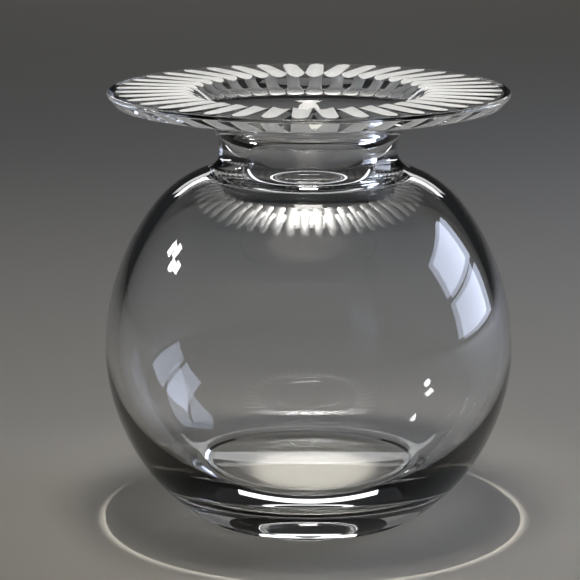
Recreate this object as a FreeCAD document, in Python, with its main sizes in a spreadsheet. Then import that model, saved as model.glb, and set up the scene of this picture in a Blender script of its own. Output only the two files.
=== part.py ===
# Rose bowl vase of clear cut crystal: a globe on a small polished foot, with a short neck and
# a flat rim that carries a ring of radial flutes. Millimetres, +Z up, the foot rests on z = 0
# and the axis of the vase is the Z axis. The glass is divided at the sections that a glassmaker
# works one after another: foot, base, globe, shoulder, neck and rim. They meet face to face, on
# rings that cross the wall.
import FreeCAD, Part

import os

import Sketcher

doc = FreeCAD.newDocument("rose_bowl_vase")

# Driving dimensions
SIZES = {
    # Rim: a flat flange with a rounded top edge, whose side slopes in below it as a bevel
    "height": 162.0,
    "rim_radius": 75.0,
    "rim_edge_round": 1.0,
    "rim_bevel": 2.8,
    "rim_side": 4.7,
    "flange_thickness": 8.3,
    "mouth_radius": 47.0,
    "mouth_round": 8.0,
    # Flutes: hollow cuts of a round-edged wheel, deepest at the mouth
    "flute_count": 40,
    "flute_mouth_depth": 1.12,
    "flute_lift_depth": 0.74,
    "flute_stop": 8.5,
    "wheel_radius": 18.0,
    "wheel_edge_round": 6.0,
    # Neck: its waist lies neck_drop below the rim, with a round cove down to the shoulder
    "neck_drop": 22.5,
    "neck_radius": 33.3,
    "neck_cove": 8.3,
    "neck_wall": 10.0,
    # Globe: its upper arc gives way to the tighter arc of the shoulder at the crown, after a turn
    # that is a share of the lean from the belly in to the neck
    "bowl_radius": 77.0,
    "belly_height": 64.0,
    "crown_turn_share": 1.53,
    "shoulder_round_share": 0.448,
    # Hollow: a thick flat floor with a round corner. The round of its side is a share of the
    # depth from the belly down to the floor.
    "wall": 5.0,
    "floor_height": 16.0,
    "floor_corner": 22.0,
    "side_round_share": 1.21,
    # Foot, with a ledge under the heel of the globe and a shallow polished dish below
    "heel_round": 4.0,
    "heel_ledge": 2.1,
    "foot_height": 3.0,
    "foot_radius": 43.5,
    "foot_bevel": 1.5,
    "foot_edge_round": 0.8,
    "foot_ring": 8.0,
    "dish_depth": 0.8,
}

# Where the stretches of the outline meet, worked out from the driving dimensions. Each round
# stretch touches the next one smoothly, so the meeting points lie on the lines between centres.
# A name that ends in _x is a distance from the axis, and one that ends in _z is a height.
OUTLINE = {
    # Waist of the neck
    "neck_height": "Sizes.height - Sizes.neck_drop",
    "cove_centre_x": "Sizes.neck_radius + Sizes.neck_cove",
    "throat_radius": "Sizes.neck_radius - Sizes.neck_wall",
    # Shoulder: the round that touches both the cove of the neck and the upper arc of the globe.
    # Its centre moves away from the belly by turn_x and turn_z times its own size, which leaves
    # one quadratic equation for the size.
    "span_x": "Sizes.bowl_radius - cove_centre_x",
    "span_z": "neck_height - Sizes.belly_height",
    "crown_turn": "Sizes.crown_turn_share * atan2(span_x; span_z)",
    "turn_x": "(1 - (1 - Sizes.shoulder_round_share) * cos(crown_turn))"
    " / Sizes.shoulder_round_share",
    "turn_z": "(1 - Sizes.shoulder_round_share) * sin(crown_turn) / Sizes.shoulder_round_share",
    "turn_square": "turn_x^2 + turn_z^2 - 1",
    "turn_span": "turn_x * span_x + turn_z * span_z + Sizes.neck_cove",
    "span_square": "span_x^2 + span_z^2 - Sizes.neck_cove^2",
    "shoulder_round": "(turn_span - sqrt(turn_span^2 - turn_square * span_square)) / turn_square",
    "shoulder_centre_x": "Sizes.bowl_radius - turn_x * shoulder_round",
    "shoulder_centre_z": "Sizes.belly_height + turn_z * shoulder_round",
    "shoulder_inner_round": "shoulder_round - Sizes.wall",
    # Crown: where the upper arc of the globe passes into the shoulder
    "upper_round": "shoulder_round / Sizes.shoulder_round_share",
    "upper_centre_x": "Sizes.bowl_radius - upper_round",
    "upper_inner_round": "upper_round - Sizes.wall",
    "crown_x": "upper_centre_x + upper_round * cos(crown_turn)",
    "crown_z": "Sizes.belly_height + upper_round * sin(crown_turn)",
    "crown_inner_x": "upper_centre_x + upper_inner_round * cos(crown_turn)",
    "crown_inner_z": "Sizes.belly_height + upper_inner_round * sin(crown_turn)",
    # Root of the neck: where the shoulder passes into the cove
    "root_way": "shoulder_round + Sizes.neck_cove",
    "root_run_x": "(cove_centre_x - shoulder_centre_x) / root_way",
    "root_run_z": "(neck_height - shoulder_centre_z) / root_way",
    "root_x": "shoulder_centre_x + root_run_x * shoulder_round",
    "root_z": "shoulder_centre_z + root_run_z * shoulder_round",
    # Throat: the round lip that stands upright at the waist and touches the inner arc of the
    # shoulder, then a straight funnel that touches the lip and the rounded mouth
    "throat_off_x": "throat_radius - shoulder_centre_x",
    "throat_off_z": "neck_height - shoulder_centre_z",
    "lip_round": "(throat_off_x^2 + throat_off_z^2 - shoulder_inner_round^2)"
    " / (2 * (shoulder_inner_round - throat_off_x))",
    "lip_centre_x": "throat_radius + lip_round",
    "lip_way": "shoulder_inner_round + lip_round",
    "lip_run_x": "(lip_centre_x - shoulder_centre_x) / lip_way",
    "lip_run_z": "throat_off_z / lip_way",
    "root_inner_x": "shoulder_centre_x + lip_run_x * shoulder_inner_round",
    "root_inner_z": "shoulder_centre_z + lip_run_z * shoulder_inner_round",
    "mouth_centre_z": "Sizes.height - Sizes.mouth_round",
    "funnel_span_x": "Sizes.mouth_radius - lip_centre_x",
    "funnel_span_z": "mouth_centre_z - neck_height",
    "funnel_turn": "atan2(funnel_span_z; funnel_span_x)"
    " + acos((lip_round - Sizes.mouth_round) / sqrt(funnel_span_x^2 + funnel_span_z^2))",
    "funnel_top_x": "Sizes.mouth_radius + Sizes.mouth_round * cos(funnel_turn)",
    "funnel_top_z": "mouth_centre_z + Sizes.mouth_round * sin(funnel_turn)",
    "funnel_foot_x": "lip_centre_x + lip_round * cos(funnel_turn)",
    "funnel_foot_z": "neck_height + lip_round * sin(funnel_turn)",
    # Flange: a hollow arc out of the neck, a long shallow arc out to the foot of the bevel, and
    # the straight bevel, which touches the rounded edge
    "flange_under_z": "Sizes.height - Sizes.flange_thickness",
    "flange_cove": "flange_under_z - neck_height",
    "flange_root_x": "Sizes.neck_radius + flange_cove",
    "bevel_foot_x": "Sizes.rim_radius - Sizes.rim_bevel",
    "bevel_foot_z": "Sizes.height - Sizes.rim_side",
    "flange_reach": "bevel_foot_x - flange_root_x",
    "flange_rise": "Sizes.flange_thickness - Sizes.rim_side",
    "under_round": "(flange_reach^2 + flange_rise^2) / (2 * flange_rise)",
    "bevel_back": "Sizes.rim_bevel - Sizes.rim_edge_round",
    "bevel_drop": "Sizes.rim_side - Sizes.rim_edge_round",
    "bevel_tilt": "asin(Sizes.rim_edge_round / sqrt(bevel_back^2 + bevel_drop^2))"
    " + atan2(bevel_back; bevel_drop)",
    "edge_top_x": "Sizes.rim_radius - Sizes.rim_edge_round",
    "edge_centre_z": "Sizes.height - Sizes.rim_edge_round",
    "edge_foot_x": "edge_top_x + Sizes.rim_edge_round * cos(bevel_tilt)",
    "edge_foot_z": "edge_centre_z - Sizes.rim_edge_round * sin(bevel_tilt)",
    # Way of the centre of the wheel's round edge: a straight cut, then the wheel lifts off
    # until it stands four times the last depth higher, clear of the rim
    "flute_start_x": "Sizes.mouth_radius - Sizes.mouth_round",
    "flute_lift_x": "Sizes.rim_radius - Sizes.flute_stop",
    "flute_fall_share": "(Sizes.flute_mouth_depth - Sizes.flute_lift_depth)"
    " / (flute_lift_x - Sizes.mouth_radius)",
    "flute_tilt": "atan(flute_fall_share)",
    "lift_z": "Sizes.height - Sizes.flute_lift_depth + Sizes.wheel_edge_round",
    "flute_start_z": "lift_z - (flute_lift_x - flute_start_x) * flute_fall_share",
    "lift_round": "Sizes.wheel_radius - Sizes.wheel_edge_round",
    "lift_turn": "acos(1 - 4 * Sizes.flute_lift_depth / Sizes.wheel_radius)",
    "lift_centre_x": "flute_lift_x - lift_round * sin(flute_tilt)",
    "lift_centre_z": "lift_z + lift_round * cos(flute_tilt)",
    "lift_end_x": "lift_centre_x + lift_round * sin(lift_turn)",
    "lift_end_z": "lift_centre_z - lift_round * cos(lift_turn)",
    # Heel: the rounded turn from the globe to the foot, and the lower arc that touches it
    "heel_x": "Sizes.foot_radius + Sizes.heel_ledge",
    "heel_centre_z": "Sizes.foot_height + Sizes.heel_round",
    "lower_run_x": "Sizes.bowl_radius - heel_x",
    "lower_run_z": "Sizes.belly_height - heel_centre_z",
    "lower_round": "(lower_run_x^2 + lower_run_z^2 - Sizes.heel_round^2)"
    " / (2 * (lower_run_x - Sizes.heel_round))",
    "lower_centre_x": "Sizes.bowl_radius - lower_round",
    "heel_way": "lower_round - Sizes.heel_round",
    "heel_top_x": "lower_centre_x + (heel_x - lower_centre_x) / heel_way * lower_round",
    "heel_top_z": "Sizes.belly_height - lower_run_z / heel_way * lower_round",
    # Hollow of the globe: an arc down the side, then a tighter corner that touches the floor
    "hollow_radius": "Sizes.bowl_radius - Sizes.wall",
    "side_round": "Sizes.side_round_share * (Sizes.belly_height - Sizes.floor_height)",
    "side_centre_x": "hollow_radius - side_round",
    "corner_way": "side_round - Sizes.floor_corner",
    "corner_run_z": "Sizes.belly_height - Sizes.floor_height - Sizes.floor_corner",
    "corner_run_x": "sqrt(corner_way^2 - corner_run_z^2)",
    "corner_centre_x": "side_centre_x + corner_run_x",
    "corner_top_x": "side_centre_x + corner_run_x / corner_way * side_round",
    "corner_top_z": "Sizes.belly_height - corner_run_z / corner_way * side_round",
    # Underside of the foot: a flat ring round a shallow cap of a large sphere
    "foot_base_x": "Sizes.foot_radius - Sizes.foot_bevel",
    "dish_x": "foot_base_x - Sizes.foot_ring",
    "dish_round": "(dish_x^2 + Sizes.dish_depth^2) / (2 * Sizes.dish_depth)",
}


def make_sheet(label, cells):
    """A spreadsheet with a name and a number or a formula in each row."""
    sheet = doc.addObject("Spreadsheet::Sheet", label)
    for row, (alias, value) in enumerate(cells.items(), start=1):
        sheet.set(f"A{row}", alias)
        sheet.set(f"B{row}", f"={value}" if isinstance(value, str) else str(value))
        sheet.setAlias(f"B{row}", alias)
    return sheet


SHEETS = {"Sizes": make_sheet("Sizes", SIZES), "Outline": make_sheet("Outline", OUTLINE)}
doc.recompute()


def number(cell):
    """The value of a cell, or zero where a point lies on an axis."""
    if cell is None:
        return 0.0
    sheet, alias = cell.split(".")
    value = SHEETS[sheet].get(alias)
    return float(getattr(value, "Value", value))


def bind(sketch, constraint, name, cell):
    """Adds a dimension to a sketch and ties it to a cell."""
    sketch.renameConstraint(sketch.addConstraint(constraint), name)
    sketch.setExpression(f"Constraints.{name}", cell)


def pin(sketch, edge, end, corner):
    """Ties one end of an edge to the two cells of a corner, or to an axis for None."""
    name, x_cell, z_cell = corner[:3]
    if x_cell is None:
        sketch.addConstraint(Sketcher.Constraint("PointOnObject", edge, end, -2))
    else:
        size = Sketcher.Constraint("DistanceX", -1, 1, edge, end, number(x_cell))
        bind(sketch, size, f"{name}_x", x_cell)
    if z_cell is None:
        sketch.addConstraint(Sketcher.Constraint("PointOnObject", edge, end, -1))
    else:
        size = Sketcher.Constraint("DistanceY", -1, 1, edge, end, number(z_cell))
        bind(sketch, size, f"{name}_z", z_cell)


def shorter_arc(start, end, radius, side):
    """The shorter arc between two points, with its centre left of the way (1) or right (-1)."""
    chord = end - start
    across = FreeCAD.Vector(-chord.y, chord.x, 0).normalize() * side
    centre = (start + end) / 2 + across * (radius**2 - (chord.Length / 2) ** 2) ** 0.5
    return Part.Arc(start, centre - across * radius, end)


def draw(sketch, corners, closed=True):
    """Joins corners in order. A corner is (name, x cell, z cell) where a line leaves it, and
    (name, x cell, z cell, radius cell, side) where an arc does."""
    points = [FreeCAD.Vector(number(c[1]), number(c[2]), 0) for c in corners]
    edges = []
    for corner, start, end in zip(corners, points, points[1:] + points[:1] * closed):
        if len(corner) == 3:
            edge, first = sketch.addGeometry(Part.LineSegment(start, end)), 1
        else:
            arc = shorter_arc(start, end, number(corner[3]), corner[4])
            edge = sketch.addGeometry(arc)
            near = sketch.getPoint(edge, 1).distanceToPoint(start)
            far = sketch.getPoint(edge, 2).distanceToPoint(start)
            first = 1 if near < far else 2
        edges.append((edge, first))
    joints = list(zip(edges, edges[1:] + edges[:1] * closed))
    for (edge, first), (after, after_first) in joints:
        join = Sketcher.Constraint("Coincident", edge, 3 - first, after, after_first)
        sketch.addConstraint(join)
    for (edge, first), corner in zip(edges, corners):
        pin(sketch, edge, first, corner)
        if len(corner) > 3:
            radius = Sketcher.Constraint("Radius", edge, number(corner[3]))
            bind(sketch, radius, f"{corner[0]}_round", corner[3])
    if not closed:
        edge, first = edges[-1]
        pin(sketch, edge, 3 - first, corners[-1])


def make_sketch(body, label, role="XZ_Plane"):
    """An empty sketch on one of a body's own origin planes."""
    sketch = body.newObject("Sketcher::SketchObject", label)
    plane = next(f for f in body.Origin.OriginFeatures if f.Role == role)
    sketch.AttachmentSupport = [(plane, "")]
    sketch.MapMode = "FlatFace"
    return sketch


def turned_body(label, corners):
    """A body made by turning a closed outline once round the axis of the vase."""
    body = doc.addObject("PartDesign::Body", label)
    body.Label = label
    sketch = make_sketch(body, f"{label}_outline")
    draw(sketch, corners)
    turned = body.newObject("PartDesign::Revolution", f"{label}_turned")
    turned.Profile = sketch
    turned.ReferenceAxis = (sketch, ["V_Axis"])
    turned.Angle = 360
    doc.recompute()
    return body


def make_foot():
    """Solid polished disc with a bevelled side, a rounded edge and a shallow dish below."""
    body = turned_body(
        "foot",
        [
            ("centre", None, None),
            ("base", "Outline.foot_base_x", None),
            ("top", "Sizes.foot_radius", "Sizes.foot_height"),
            ("top_centre", None, "Sizes.foot_height"),
        ],
    )
    turned = body.Tip
    low = number("Sizes.foot_edge_round")
    edges = enumerate(turned.Shape.Edges, start=1)
    base_edges = [f"Edge{i}" for i, edge in edges if edge.BoundBox.ZMax < low]
    rounded = body.newObject("PartDesign::Fillet", "foot_edge")
    rounded.Base = (turned, base_edges)
    rounded.setExpression("Radius", "Sizes.foot_edge_round")
    doc.recompute()
    sketch = make_sketch(body, "dish_outline")
    draw(
        sketch,
        [
            ("centre", None, None),
            ("dish_edge", "Outline.dish_x", None, "Outline.dish_round", 1),
            ("dish_top", None, "Sizes.dish_depth"),
        ],
    )
    dish = body.newObject("PartDesign::Groove", "foot_dish")
    dish.Profile = sketch
    dish.ReferenceAxis = (sketch, ["V_Axis"])
    dish.Angle = 360
    doc.recompute()
    return body


def make_base():
    """Lower half of the globe, from the rounded heel to the belly, with the thick flat floor."""
    return turned_body(
        "base",
        [
            ("sole", None, "Sizes.foot_height"),
            ("heel", "Outline.heel_x", "Sizes.foot_height", "Sizes.heel_round", 1),
            ("heel_top", "Outline.heel_top_x", "Outline.heel_top_z", "Outline.lower_round", 1),
            ("belly", "Sizes.bowl_radius", "Sizes.belly_height"),
            ("hollow", "Outline.hollow_radius", "Sizes.belly_height", "Outline.side_round", -1),
            ("corner", "Outline.corner_top_x", "Outline.corner_top_z", "Sizes.floor_corner", -1),
            ("floor_edge", "Outline.corner_centre_x", "Sizes.floor_height"),
            ("floor", None, "Sizes.floor_height"),
        ],
    )


def make_globe():
    """Upper half of the globe, an even wall from the belly up to the crown."""
    inner_crown = ("inner_crown", "Outline.crown_inner_x", "Outline.crown_inner_z")
    return turned_body(
        "globe",
        [
            ("belly", "Sizes.bowl_radius", "Sizes.belly_height", "Outline.upper_round", 1),
            ("crown", "Outline.crown_x", "Outline.crown_z"),
            (*inner_crown, "Outline.upper_inner_round", -1),
            ("hollow", "Outline.hollow_radius", "Sizes.belly_height"),
        ],
    )


def make_shoulder():
    """Round turn from the crown of the globe to the root of the neck."""
    inner_root = ("inner_root", "Outline.root_inner_x", "Outline.root_inner_z")
    return turned_body(
        "shoulder",
        [
            ("crown", "Outline.crown_x", "Outline.crown_z", "Outline.shoulder_round", 1),
            ("root", "Outline.root_x", "Outline.root_z"),
            (*inner_root, "Outline.shoulder_inner_round", -1),
            ("inner_crown", "Outline.crown_inner_x", "Outline.crown_inner_z"),
        ],
    )


def make_neck():
    """Lower half of the neck, from its root up to the waist, where the wall is thick."""
    return turned_body(
        "neck",
        [
            ("root", "Outline.root_x", "Outline.root_z", "Sizes.neck_cove", -1),
            ("waist", "Sizes.neck_radius", "Outline.neck_height"),
            ("throat", "Outline.throat_radius", "Outline.neck_height", "Outline.lip_round", 1),
            ("inner_root", "Outline.root_inner_x", "Outline.root_inner_z"),
        ],
    )


def cut_flutes(body):
    """Cuts one flute by carrying the wheel's round edge along its way, then repeats it."""
    way = make_sketch(body, "wheel_way")
    draw(
        way,
        [
            ("start", "Outline.flute_start_x", "Outline.flute_start_z"),
            ("lift", "Outline.flute_lift_x", "Outline.lift_z", "Outline.lift_round", 1),
            ("end", "Outline.lift_end_x", "Outline.lift_end_z"),
        ],
        closed=False,
    )
    edge = make_sketch(body, "wheel_edge", "YZ_Plane")
    circle = edge.addGeometry(
        Part.Circle(FreeCAD.Vector(), FreeCAD.Vector(0, 0, 1), number("Sizes.wheel_edge_round"))
    )
    edge.addConstraint(Sketcher.Constraint("Coincident", circle, 3, -1, 1))
    radius = Sketcher.Constraint("Radius", circle, number("Sizes.wheel_edge_round"))
    bind(edge, radius, "edge_round", "Sizes.wheel_edge_round")
    edge.AttachmentOffset = FreeCAD.Placement(
        FreeCAD.Vector(0, number("Outline.flute_start_z"), number("Outline.flute_start_x")),
        FreeCAD.Rotation(FreeCAD.Vector(-1, 0, 0), number("Outline.flute_tilt")),
    )
    edge.setExpression("AttachmentOffset.Base.y", "Outline.flute_start_z")
    edge.setExpression("AttachmentOffset.Base.z", "Outline.flute_start_x")
    edge.setExpression("AttachmentOffset.Rotation.Angle", "Outline.flute_tilt")
    doc.recompute()
    flute = body.newObject("PartDesign::SubtractivePipe", "flute")
    flute.Profile = edge
    flute.Spine = (way, ["Edge1", "Edge2"])
    doc.recompute()
    flutes = body.newObject("PartDesign::PolarPattern", "flutes")
    flutes.Originals = [flute]
    flutes.Axis = (way, ["V_Axis"])
    flutes.Angle = 360
    flutes.setExpression("Occurrences", "Sizes.flute_count")
    body.Tip = flutes
    doc.recompute()


def make_rim():
    """Flange with a bevelled side, round the funnel that flares up from the waist."""
    body = turned_body(
        "rim",
        [
            ("waist", "Sizes.neck_radius", "Outline.neck_height", "Outline.flange_cove", -1),
            ("flange", "Outline.flange_root_x", "Outline.flange_under_z", "Outline.under_round", 1),
            ("bevel", "Outline.bevel_foot_x", "Outline.bevel_foot_z"),
            ("edge", "Outline.edge_foot_x", "Outline.edge_foot_z", "Sizes.rim_edge_round", 1),
            ("edge_top", "Outline.edge_top_x", "Sizes.height"),
            ("mouth", "Sizes.mouth_radius", "Sizes.height", "Sizes.mouth_round", 1),
            ("funnel", "Outline.funnel_top_x", "Outline.funnel_top_z"),
            ("lip", "Outline.funnel_foot_x", "Outline.funnel_foot_z", "Outline.lip_round", 1),
            ("throat", "Outline.throat_radius", "Outline.neck_height"),
        ],
    )
    cut_flutes(body)
    return body


def write_parts(bodies):
    """Checks every object and every solid, then writes one file for each body."""
    doc.recompute()
    for thing in doc.Objects:
        if {"Invalid", "Error"} & set(thing.State):
            raise RuntimeError(f"{thing.Label} failed: {thing.State}")
    for body in bodies:
        if body.Shape.isNull() or not body.Shape.isValid():
            raise RuntimeError(f"{body.Label} has no valid solid")
    os.makedirs("parts", exist_ok=True)
    for body in bodies:
        body.Shape.exportStep(f"parts/{body.Label}.step")
        box = body.Shape.BoundBox
        print(
            f"{body.Label}: {len(body.Shape.Solids)} solid, {body.Shape.Volume / 1000:.1f} cm3,"
            f" z {box.ZMin:.2f} to {box.ZMax:.2f}, radius {box.XMax:.2f}"
        )


write_parts([make_foot(), make_base(), make_globe(), make_shoulder(), make_neck(), make_rim()])
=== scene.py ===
import math

import bpy
import numpy as np
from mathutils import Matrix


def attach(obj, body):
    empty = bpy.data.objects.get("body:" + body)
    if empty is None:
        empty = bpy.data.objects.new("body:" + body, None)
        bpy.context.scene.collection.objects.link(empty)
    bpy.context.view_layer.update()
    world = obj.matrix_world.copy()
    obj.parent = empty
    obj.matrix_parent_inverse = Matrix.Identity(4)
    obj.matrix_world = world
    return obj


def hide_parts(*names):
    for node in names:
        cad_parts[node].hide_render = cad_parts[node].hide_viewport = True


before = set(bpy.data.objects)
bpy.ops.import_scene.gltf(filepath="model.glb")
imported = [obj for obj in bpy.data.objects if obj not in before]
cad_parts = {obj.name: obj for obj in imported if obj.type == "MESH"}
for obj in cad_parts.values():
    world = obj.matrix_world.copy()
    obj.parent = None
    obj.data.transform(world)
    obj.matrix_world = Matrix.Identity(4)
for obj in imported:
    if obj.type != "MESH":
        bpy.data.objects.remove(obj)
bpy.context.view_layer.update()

MM = 0.001

# Outline of the glass, in millimetres: radii are measured from the axis, heights from the table
HEIGHT = 162.0
RIM_RADIUS = 75.0
RIM_EDGE_ROUND = 1.0
RIM_BEVEL = 2.8
RIM_SIDE = 4.7
FLANGE_THICKNESS = 8.3
MOUTH_RADIUS = 47.0
MOUTH_ROUND = 8.0
NECK_DROP = 22.5
NECK_RADIUS = 33.3
NECK_COVE = 8.3
BOWL_RADIUS = 77.0
BELLY_HEIGHT = 64.0
CROWN_TURN_SHARE = 1.53
SHOULDER_ROUND_SHARE = 0.448
WALL = 5.0
NECK_WALL = 10.0
FLOOR_HEIGHT = 16.0
FLOOR_CORNER = 22.0
SIDE_ROUND_SHARE = 1.21
HEEL_ROUND = 4.0
HEEL_LEDGE = 2.1
FOOT_HEIGHT = 3.0
FOOT_RADIUS = 43.5
FOOT_BEVEL = 1.5
FOOT_EDGE_ROUND = 0.8
FOOT_RING = 8.0
DISH_DEPTH = 0.8

# Flutes: the wheel has a round edge, cuts deepest at the mouth and lifts off near the rim's edge
FLUTES = 40
FLUTE_MOUTH_DEPTH = 1.12
FLUTE_LIFT_DEPTH = 0.74
FLUTE_STOP = 8.5
WHEEL_RADIUS = 18.0
WHEEL_EDGE_ROUND = 6.0

# Mesh: columns round the vase for each flute, rows along a flute, and the largest turn of the
# outline between rows
FLUTE_COLUMNS = 12
LAND_COLUMNS = 4
TIP_ROWS = 9
FACE_ROWS = 20
END_ROWS = 11
ROW_TURN = math.radians(3.0)

# Least width of a flute's columns where the flute runs out, and the least gap between the last
# row of the flutes and the plain rows, as a share of the mouth's round
NARROWEST_SHARE = 0.25
NEXT_ROW_SHARE = 0.03

# Two rows nearer than this, in millimetres, are one, and steeper turns than this stay sharp
SAME_ROW = 1e-6
SHARP_TURN = math.radians(14.0)

# Photograph's camera, worked out from the ellipses of the rim and the foot, and turned round the
# axis until the flutes fall where the photograph shows them
VIEW_TURN = math.radians(2.6)
CAMERA_WAY = 0.885
CAMERA_HEIGHT = 0.287
CAMERA_PITCH = math.radians(12.83)
CAMERA_LENS = 148.8
CAMERA_NEAR = 0.05
CAMERA_FAR = 60.0
AXIS_PIXELS_RIGHT = 19.0
FRAME_PIXELS = 580.0
SENSOR = 36.0

# Table and ceiling spot, in metres. The spot's pool is a hair wider than the rim, so that it
# lights the flutes and leaves only a pale ring round the shadow on the table
TABLE_HALF = 8.0
TABLE_GAP = 0.0003
SPOT_DISTANCE = 2.84
SPOT_POOL = RIM_RADIUS * MM + 0.0003
SPOT_LAMP = 0.004
SPOT_POWER = 640.0
SPOT_BLEND = 0.03

# Daylight from the right, lamplight from above, and the dim even light of the room
DAYLIGHT = "#DCE6FF"
LAMPLIGHT = "#FFFBF4"
ROOM_COLOUR = "#B9BCC0"
ROOM_STRENGTH = 0.03

# Upper limit for one indirect ray, high enough for light that comes down through the flutes
INDIRECT_CLAMP = 60.0


def arc(centre, radius, start, end):
    """Points of a round stretch: centre plus radius times the cosine and sine of an angle that
    runs evenly from start to end."""
    count = max(3, math.ceil(abs(end - start) / ROW_TURN) + 1)
    angle = np.linspace(start, end, count)
    return np.column_stack([centre[0] + radius * np.cos(angle), centre[1] + radius * np.sin(angle)])


def angle_to(centre, point):
    """The direction from a centre to a point of the outline."""
    return math.atan2(point[1] - centre[1], point[0] - centre[0])


def shoulder_arc():
    """The round of the shoulder, which touches the cove of the neck and the upper arc of the
    globe. Its centre moves away from the belly in proportion to its size, which leaves one
    quadratic equation. Gives the crown's turn, the radius and the centre."""
    span_x = BOWL_RADIUS - NECK_RADIUS - NECK_COVE
    span_z = HEIGHT - NECK_DROP - BELLY_HEIGHT
    turn = CROWN_TURN_SHARE * math.atan2(span_x, span_z)
    turn_x = (1 - (1 - SHOULDER_ROUND_SHARE) * math.cos(turn)) / SHOULDER_ROUND_SHARE
    turn_z = (1 - SHOULDER_ROUND_SHARE) * math.sin(turn) / SHOULDER_ROUND_SHARE
    square = turn_x**2 + turn_z**2 - 1
    half = turn_x * span_x + turn_z * span_z + NECK_COVE
    radius = (half - math.sqrt(half**2 - square * (span_x**2 + span_z**2 - NECK_COVE**2))) / square
    return turn, radius, (BOWL_RADIUS - turn_x * radius, BELLY_HEIGHT + turn_z * radius)


def outline():
    """The closed half outline of the glass, as stretches from the middle of the underside, up
    the outside, over the rim and down the inside to the middle of the floor."""
    neck_z = HEIGHT - NECK_DROP
    cove_centre = (NECK_RADIUS + NECK_COVE, neck_z)
    turn, shoulder_round, shoulder_centre = shoulder_arc()
    root = angle_to(shoulder_centre, cove_centre)
    upper_round = shoulder_round / SHOULDER_ROUND_SHARE
    upper_centre = (BOWL_RADIUS - upper_round, BELLY_HEIGHT)

    # Foot and heel
    base_x = FOOT_RADIUS - FOOT_BEVEL
    dish_x = base_x - FOOT_RING
    dish_round = (dish_x**2 + DISH_DEPTH**2) / (2 * DISH_DEPTH)
    dish_centre = (0.0, DISH_DEPTH - dish_round)
    bevel = math.atan2(FOOT_HEIGHT, FOOT_BEVEL)
    edge_centre = (base_x - FOOT_EDGE_ROUND / math.tan((math.pi - bevel) / 2), FOOT_EDGE_ROUND)
    heel_centre = (FOOT_RADIUS + HEEL_LEDGE, FOOT_HEIGHT + HEEL_ROUND)
    run_x = BOWL_RADIUS - heel_centre[0]
    run_z = BELLY_HEIGHT - heel_centre[1]
    lower_round = (run_x**2 + run_z**2 - HEEL_ROUND**2) / (2 * (run_x - HEEL_ROUND))
    lower_centre = (BOWL_RADIUS - lower_round, BELLY_HEIGHT)
    heel = angle_to(lower_centre, heel_centre)

    # Flange
    under_z = HEIGHT - FLANGE_THICKNESS
    flange_centre = (NECK_RADIUS + under_z - neck_z, neck_z)
    edge_x = RIM_RADIUS - RIM_EDGE_ROUND
    back = RIM_BEVEL - RIM_EDGE_ROUND
    side = RIM_SIDE - RIM_EDGE_ROUND
    rim_tilt = math.asin(RIM_EDGE_ROUND / math.hypot(back, side)) + math.atan2(back, side)
    bevel_end = (RIM_RADIUS - RIM_BEVEL, HEIGHT - RIM_SIDE)
    reach = bevel_end[0] - flange_centre[0]
    rise = FLANGE_THICKNESS - RIM_SIDE
    under_round = (reach**2 + rise**2) / (2 * rise)
    under_centre = (flange_centre[0], under_z + under_round)
    rim_edge_centre = (edge_x, HEIGHT - RIM_EDGE_ROUND)

    # Throat
    mouth_centre = (MOUTH_RADIUS, HEIGHT - MOUTH_ROUND)
    throat_radius = NECK_RADIUS - NECK_WALL
    inner_round = shoulder_round - WALL
    off_x = throat_radius - shoulder_centre[0]
    off_z = neck_z - shoulder_centre[1]
    lip_round = (off_x**2 + off_z**2 - inner_round**2) / (2 * (inner_round - off_x))
    lip_centre = (throat_radius + lip_round, neck_z)
    apart = math.dist(mouth_centre, lip_centre)
    funnel = angle_to(lip_centre, mouth_centre) + math.acos((lip_round - MOUTH_ROUND) / apart)
    inner_root = angle_to(shoulder_centre, lip_centre)

    # Hollow
    side_round = SIDE_ROUND_SHARE * (BELLY_HEIGHT - FLOOR_HEIGHT)
    side_centre = (BOWL_RADIUS - WALL - side_round, BELLY_HEIGHT)
    corner_z = FLOOR_HEIGHT + FLOOR_CORNER
    corner_x = math.sqrt((side_round - FLOOR_CORNER) ** 2 - (BELLY_HEIGHT - corner_z) ** 2)
    corner_centre = (side_centre[0] + corner_x, corner_z)
    corner = angle_to(side_centre, corner_centre)

    quarter = math.pi / 2
    return {
        "dish": arc(dish_centre, dish_round, quarter, angle_to(dish_centre, (dish_x, 0.0))),
        "foot_edge": arc(edge_centre, FOOT_EDGE_ROUND, -quarter, bevel - quarter),
        "foot_side": np.array([(FOOT_RADIUS, FOOT_HEIGHT)]),
        "heel": arc(heel_centre, HEEL_ROUND, -quarter, heel),
        "lower_globe": arc(lower_centre, lower_round, heel, 0.0),
        "upper_globe": arc(upper_centre, upper_round, 0.0, turn),
        "shoulder": arc(shoulder_centre, shoulder_round, turn, root),
        "cove": arc(cove_centre, NECK_COVE, root + math.pi, math.pi),
        "flange_cove": arc(flange_centre, under_z - neck_z, math.pi, quarter),
        "underside": arc(under_centre, under_round, -quarter, angle_to(under_centre, bevel_end)),
        "rim_edge": arc(rim_edge_centre, RIM_EDGE_ROUND, -rim_tilt, quarter),
        "face": np.array([(edge_x, HEIGHT), (MOUTH_RADIUS, HEIGHT)]),
        "mouth": arc(mouth_centre, MOUTH_ROUND, quarter, funnel),
        "lip": arc(lip_centre, lip_round, funnel, inner_root + math.pi),
        "inner_shoulder": arc(shoulder_centre, inner_round, inner_root, turn),
        "inner_upper": arc(upper_centre, upper_round - WALL, turn, 0.0),
        "side": arc(side_centre, side_round, 0.0, corner),
        "corner": arc(corner_centre, FLOOR_CORNER, corner, -quarter),
        "floor": np.array([(corner_centre[0], FLOOR_HEIGHT), (0.0, FLOOR_HEIGHT)]),
    }


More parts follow.
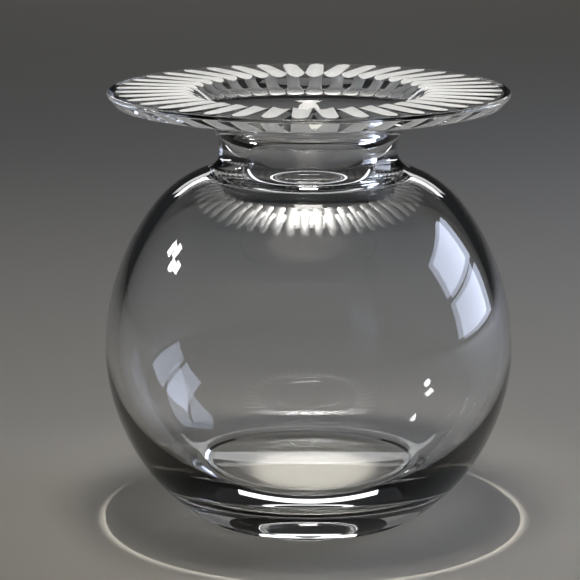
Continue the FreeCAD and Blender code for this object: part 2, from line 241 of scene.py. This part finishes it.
def without_repeats(points):
    """The same points, each one only once where two stretches share an end."""
    step = np.hypot(*np.diff(points, axis=0).T)
    return points[np.concatenate([[True], step > SAME_ROW])]


def flute_depth(radius):
    """Depth of the middle of a flute under the face: it falls evenly from the mouth to where the
    wheel lifts off, and from there it follows the wheel's own circle up to nothing."""
    lift = RIM_RADIUS - FLUTE_STOP
    fall = (FLUTE_MOUTH_DEPTH - FLUTE_LIFT_DEPTH) / (lift - MOUTH_RADIUS)
    beyond = np.clip(radius - lift, 0.0, WHEEL_RADIUS)
    return np.where(
        radius < lift,
        FLUTE_LIFT_DEPTH + (lift - radius) * fall,
        FLUTE_LIFT_DEPTH - (WHEEL_RADIUS - np.sqrt(WHEEL_RADIUS**2 - beyond**2)),
    )


def mouth_drop(radius):
    """How far the rounded mouth lies under the face at a radius."""
    inward = np.clip(MOUTH_RADIUS - radius, 0.0, MOUTH_ROUND)
    return MOUTH_ROUND - np.sqrt(MOUTH_ROUND**2 - inward**2)


def flute_half_angle(radius):
    """Half the angle that a flute spans at a radius. Its section is a circle of the wheel's round
    edge, so its half width is the root of (2 edge - depth) times depth."""
    depth = np.clip(flute_depth(radius) - mouth_drop(radius), 0.0, None)
    half_width = np.sqrt((2 * WHEEL_EDGE_ROUND - depth) * depth)
    return np.arcsin(np.clip(half_width / radius, 0.0, 1.0))


def flute_ends():
    """The radii where a flute runs out, over the mouth and near the rim's edge."""
    steps = 20001
    radius = np.linspace(MOUTH_RADIUS - MOUTH_ROUND, RIM_RADIUS, steps)
    cut = radius[flute_depth(radius) > mouth_drop(radius)]
    return cut[0], cut[-1]


def fluted_rows():
    """Radii and heights of the rows that cross the flutes, from the face's outer end to the
    rounded mouth. They crowd towards both ends of the flutes, whose outline is round there."""
    inner, outer = flute_ends()
    lift = RIM_RADIUS - FLUTE_STOP
    quarter = math.pi / 2
    tip = lift + (outer - lift) * np.cos(np.linspace(0.0, quarter, TIP_ROWS))
    face = np.linspace(lift, MOUTH_RADIUS, FACE_ROWS)
    end = MOUTH_RADIUS - (MOUTH_RADIUS - inner) * np.sin(np.linspace(0.0, quarter, END_ROWS))
    radius = np.concatenate([tip, face[1:], end[1:]])
    return np.column_stack([radius, HEIGHT - mouth_drop(radius)])


def fluted_face(rows):
    """Points of the fluted rows. In each of the equal sectors the columns are drawn together or
    apart so that two of them run along the edges of the flute, and the points between these are
    lowered onto the wheel's round edge: centre minus the root of edge squared less the distance
    from the flute's middle squared."""
    sector = 2 * math.pi / FLUTES
    half = FLUTE_COLUMNS / 2
    place = np.arange(FLUTE_COLUMNS + LAND_COLUMNS) - half
    plain = half / (FLUTE_COLUMNS + LAND_COLUMNS) * sector
    radius, height = rows[:, :1], rows[:, 1:]
    flute = np.clip(flute_half_angle(radius), NARROWEST_SHARE * plain, None)
    land = sector - 2 * flute
    turn = np.where(
        place <= half, place / half * flute, flute + (place - half) / LAND_COLUMNS * land
    )
    across = radius * np.sin(turn)
    centre = HEIGHT - flute_depth(radius * np.cos(turn)) + WHEEL_EDGE_ROUND
    inside = np.abs(across) < WHEEL_EDGE_ROUND
    sagitta = np.sqrt(np.where(inside, WHEEL_EDGE_ROUND**2 - across**2, 0.0))
    cut = np.where(inside & (place <= half), centre - sagitta, height)
    low = np.minimum(height, cut)
    angle = np.concatenate([turn + sector * i for i in range(FLUTES)], axis=1)
    return np.stack(
        [radius * np.cos(angle), radius * np.sin(angle), np.tile(low, (1, FLUTES))], axis=-1
    )


def turned_rows(points, columns):
    """Points of plain turned rows: each outline point carried once round the axis."""
    half = FLUTE_COLUMNS / 2 * columns / (FLUTES * (FLUTE_COLUMNS + LAND_COLUMNS))
    angle = (np.arange(columns) - half) * 2 * math.pi / columns
    radius, height = points[:, :1], points[:, 1:]
    level = np.repeat(height, columns, axis=1)
    return np.stack([radius * np.cos(angle), radius * np.sin(angle), level], axis=-1)


def bands(first, rows, columns):
    """Four-sided faces between rows of a closed ring, wound so that they face outwards."""
    row = first + columns * np.arange(rows - 1)[:, None]
    here = np.arange(columns)[None, :]
    after = (here + 1) % columns
    quads = [row + here, row + after, row + columns + after, row + columns + here]
    return np.stack(np.broadcast_arrays(*quads), axis=-1).reshape(-1, 4)


def fan(pole, ring, columns, upwards):
    """Triangles from a pole to the ring next to it."""
    here = ring + np.arange(columns)
    after = ring + (np.arange(columns) + 1) % columns
    corners = [np.full(columns, pole), here, after]
    return np.stack(corners if upwards else corners[::-1], axis=-1)


def halving(coarse, fine, columns, fine_after):
    """Three triangles for each coarse column, between a ring and one with twice its columns."""
    here = np.arange(columns)
    after = (here + 1) % columns
    near, middle, far = fine + 2 * here, fine + 2 * here + 1, fine + 2 * after
    here, after = coarse + here, coarse + after
    triangles = np.concatenate([
        np.stack([here, middle, near], axis=-1),
        np.stack([here, after, middle], axis=-1),
        np.stack([after, far, middle], axis=-1),
    ])
    return triangles if fine_after else triangles[:, ::-1]


def make_vase():
    """One closed skin for the whole glass: plain turned rows from the middle of the underside to
    the rim, finer rows that carry the flutes, and plain turned rows down to the floor."""
    stretch = outline()
    names = list(stretch)
    split = names.index("face")
    outer = without_repeats(np.concatenate([stretch[n] for n in names[:split]]))[1:]
    fluted = fluted_rows()
    below = fluted[-1, 0] - MOUTH_ROUND * NEXT_ROW_SHARE
    mouth = stretch["mouth"][stretch["mouth"][:, 0] < below]
    inner = [mouth] + [stretch[n] for n in names[split + 2:]]
    inner = without_repeats(np.concatenate(inner))[:-1]
    fine = FLUTES * (FLUTE_COLUMNS + LAND_COLUMNS)
    coarse = fine // 2

    under_pole = np.array([[0.0, 0.0, DISH_DEPTH]])
    floor_pole = np.array([[0.0, 0.0, FLOOR_HEIGHT]])
    outside = turned_rows(outer, coarse).reshape(-1, 3)
    face = fluted_face(fluted).reshape(-1, 3)
    inside = turned_rows(inner, coarse).reshape(-1, 3)
    points = np.concatenate([under_pole, outside, face, inside, floor_pole]) * MM

    outside_at = 1
    face_at = outside_at + len(outside)
    inside_at = face_at + len(face)
    last = len(points) - 1
    outer_quads = bands(outside_at, len(outer), coarse)
    fluted_quads = bands(face_at, len(fluted), fine)
    inner_quads = bands(inside_at, len(inner), coarse)
    quads = np.concatenate([outer_quads, fluted_quads, inner_quads])
    triangles = np.concatenate([
        fan(0, outside_at, coarse, False),
        halving(face_at - coarse, face_at, coarse, True),
        halving(inside_at, inside_at - fine, coarse, False),
        fan(last, last - coarse, coarse, True),
    ])
    mesh = bpy.data.meshes.new("crystal_vase")
    mesh.from_pydata(points.tolist(), [], quads.tolist() + triangles.tolist())

    column = np.arange(len(fluted_quads)) % fine % (FLUTE_COLUMNS + LAND_COLUMNS)
    matt = np.zeros(len(mesh.polygons), dtype=np.int32)
    first = len(outer_quads)
    matt[first:first + len(fluted_quads)] = column < FLUTE_COLUMNS
    mesh.polygons.foreach_set("material_index", matt)
    mesh.polygons.foreach_set("use_smooth", np.ones(len(mesh.polygons), dtype=bool))
    mesh.set_sharp_from_angle(angle=SHARP_TURN)
    mesh.validate()
    vase = bpy.data.objects.new("crystal_vase", mesh)
    bpy.context.scene.collection.objects.link(vase)
    return vase


def linear(colour):
    """A colour written as sRGB hex, as linear red, green, blue and alpha."""
    channels = [int(colour[i:i + 2], 16) / 255 for i in (1, 3, 5)]
    return [c / 12.92 if c <= 0.04045 else ((c + 0.055) / 1.055) ** 2.4 for c in channels] + [1.0]


def node(tree, kind, links=(), **settings):
    """Adds a node, sets its sockets and properties by name, and joins the named sockets."""
    made = tree.nodes.new(kind)
    for name, value in settings.items():
        socket = made.inputs.get(name.replace("_", " "))
        if socket is None:
            setattr(made, name, value)
        else:
            socket.default_value = value
    for name, source in dict(links).items():
        tree.links.new(source, made.inputs[name])
    return made


def empty_material(name):
    """A material without nodes, and its tree."""
    material = bpy.data.materials.new(name)
    material.use_nodes = True
    material.node_tree.nodes.clear()
    return material, material.node_tree


def crystal(name, noise, relief, **finish):
    """Lead crystal with a relief of noise, in metres, on its skin."""
    material, tree = empty_material(name)
    place = node(tree, "ShaderNodeTexCoord")
    pattern = node(tree, "ShaderNodeTexNoise", {"Vector": place.outputs["Object"]}, **noise)
    bump = node(tree, "ShaderNodeBump", {"Height": pattern.outputs["Fac"]}, **relief)
    normal = {"Normal": bump.outputs["Normal"]}
    surface = node(tree, "ShaderNodeBsdfPrincipled", normal, IOR=1.545, **finish)
    node(tree, "ShaderNodeOutputMaterial", {"Surface": surface.outputs["BSDF"]})
    return material


def polished_crystal():
    """Blown and fire polished: clear and colourless, with a high index that gives its strong
    edges. The melt leaves faint waves a few millimetres apart."""
    return crystal(
        "polished_lead_crystal",
        noise={"Scale": 45.0, "Detail": 1.0},
        relief={"Strength": 0.008, "Distance": 0.001},
        Base_Color=linear("#FDFEFF"),
        Roughness=0.0,
        Transmission_Weight=1.0,
    )


def cut_crystal():
    """Straight from the cutting wheel: the grit leaves a fine matt skin that scatters light
    white, both back to the eye and down through the glass."""
    return crystal(
        "wheel_cut_matt_crystal",
        noise={"Scale": 1800.0, "Detail": 2.0},
        relief={"Strength": 0.25, "Distance": 0.0002},
        Base_Color=linear("#F4F6F7"),
        Roughness=0.6,
        Transmission_Weight=0.75,
    )


def table_finish():
    """Plain pale matt board, with the slightest cloudiness."""
    material, tree = empty_material("pale_matt_board")
    place = node(tree, "ShaderNodeTexCoord")
    object_place = {"Vector": place.outputs["Object"]}
    cloud = node(tree, "ShaderNodeTexNoise", object_place, Scale=6.0, Detail=3.0)
    tone = node(tree, "ShaderNodeValToRGB", {"Fac": cloud.outputs["Fac"]})
    tone.color_ramp.elements[0].color = linear("#BCB8AF")
    tone.color_ramp.elements[1].color = linear("#C1BEB6")
    colour = {"Base Color": tone.outputs["Color"]}
    surface = node(tree, "ShaderNodeBsdfPrincipled", colour, Roughness=0.75)
    node(tree, "ShaderNodeOutputMaterial", {"Surface": surface.outputs["BSDF"]})
    return material


def make_table():
    """A large flat square, a hair under the foot, that reaches past the view on every side."""
    turns = [(-1, -1), (1, -1), (1, 1), (-1, 1)]
    corners = [(x * TABLE_HALF, y * TABLE_HALF, -TABLE_GAP) for x, y in turns]
    mesh = bpy.data.meshes.new("table")
    mesh.from_pydata(corners, [], [(0, 1, 2, 3)])
    table = bpy.data.objects.new("table", mesh)
    bpy.context.scene.collection.objects.link(table)
    table.data.materials.append(table_finish())
    return table


def hang(name, lamp, azimuth, elevation, distance, aim_height):
    """Hangs a light that faces the axis at the aim's height. Azimuth runs from the camera's side
    to the right, as seen from above, and elevation up from the aim, both in degrees."""
    turn = VIEW_TURN + math.radians(azimuth)
    rise = math.radians(elevation)
    run = distance * math.cos(rise)
    height = aim_height + distance * math.sin(rise)
    light = bpy.data.objects.new(name, lamp)
    light.location = (run * math.sin(turn), -run * math.cos(turn), height)
    light.rotation_euler = (math.pi / 2 - rise, 0.0, turn)
    light.visible_camera = False
    bpy.context.scene.collection.objects.link(light)


def softbox(name, azimuth, elevation, distance, size, power, colour="#FFFFFF", spread=180.0,
            aim_height=BELLY_HEIGHT * MM):
    """A rectangular soft light, with its width and height in metres."""
    lamp = bpy.data.lights.new(name, "AREA")
    lamp.shape = "RECTANGLE"
    lamp.size, lamp.size_y = size
    lamp.energy = power
    lamp.spread = math.radians(spread)
    lamp.color = linear(colour)[:3]
    hang(name, lamp, azimuth, elevation, distance, aim_height)


def ceiling_spot():
    """A small far lamp, almost straight above, that lights the flutes and their reflections on
    the shoulder and draws the rim's shadow on the table."""
    lamp = bpy.data.lights.new("ceiling_spot", "SPOT")
    lamp.energy = SPOT_POWER
    lamp.spot_size = 2.0 * math.atan2(SPOT_POOL, SPOT_DISTANCE)
    lamp.spot_blend = SPOT_BLEND
    lamp.shadow_soft_size = SPOT_LAMP
    lamp.color = linear(LAMPLIGHT)[:3]
    hang(
        "ceiling_spot", lamp, azimuth=-167.5, elevation=87.0, distance=SPOT_DISTANCE, aim_height=0.16
    )


def light_studio():
    """Dim studio light. Two large softboxes, one above the other, stand at the right and a little
    behind, two small ones at the left. A strip behind fills the foot and the floor of the hollow
    with light. A softbox overhead pools its light on the table, and a spot lights the flutes."""
    softbox("right_upper", azimuth=109.0, elevation=22.5, distance=1.2, size=(0.68, 0.32),
            power=3.4, colour=DAYLIGHT)
    softbox("right_lower", azimuth=110.0, elevation=6.0, distance=1.2, size=(0.68, 0.28),
            power=2.4, colour=DAYLIGHT)
    softbox("left_upper", azimuth=-108.0, elevation=26.5, distance=1.4, size=(0.10, 0.12),
            power=0.8)
    softbox("left_lower", azimuth=-99.5, elevation=24.0, distance=1.4, size=(0.10, 0.10),
            power=0.8)
    softbox("back_strip", azimuth=180.0, elevation=18.0, distance=2.6, size=(2.2, 0.18),
            power=2.6, aim_height=0.02)
    softbox("overhead", azimuth=0.0, elevation=88.0, distance=1.1, size=(0.26, 0.26),
            power=0.5, colour=LAMPLIGHT, spread=75.0)
    ceiling_spot()

    world = bpy.data.worlds.new("room")
    world.use_nodes = True
    room = world.node_tree.nodes["Background"]
    room.inputs["Color"].default_value = linear(ROOM_COLOUR)
    room.inputs["Strength"].default_value = ROOM_STRENGTH
    bpy.context.scene.world = world
    bpy.context.scene.view_settings.view_transform = "Standard"
    bpy.context.scene.cycles.sample_clamp_indirect = INDIRECT_CLAMP


def place_camera():
    """The photograph's view: a long lens from a little above the rim, turned a little to the left
    so that the axis of the vase falls right of the middle."""
    lens = bpy.data.cameras.new("camera")
    lens.lens = CAMERA_LENS
    lens.sensor_width = SENSOR
    lens.clip_start = CAMERA_NEAR
    lens.clip_end = CAMERA_FAR
    camera = bpy.data.objects.new("camera", lens)
    along = (CAMERA_WAY * math.sin(VIEW_TURN), -CAMERA_WAY * math.cos(VIEW_TURN))
    camera.location = (*along, CAMERA_HEIGHT)
    yaw = math.atan(AXIS_PIXELS_RIGHT / FRAME_PIXELS * SENSOR / CAMERA_LENS)
    camera.rotation_euler = (math.pi / 2 - CAMERA_PITCH, 0.0, VIEW_TURN + yaw)
    bpy.context.scene.collection.objects.link(camera)
    bpy.context.scene.camera = camera


place_camera()
light_studio()
make_table()

# Seams between the sections would show in clear glass, so one skin stands for all six
vase = make_vase()
vase.data.materials.append(polished_crystal())
vase.data.materials.append(cut_crystal())
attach(vase, "root")
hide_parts("foot", "base", "globe", "shoulder", "neck", "rim")
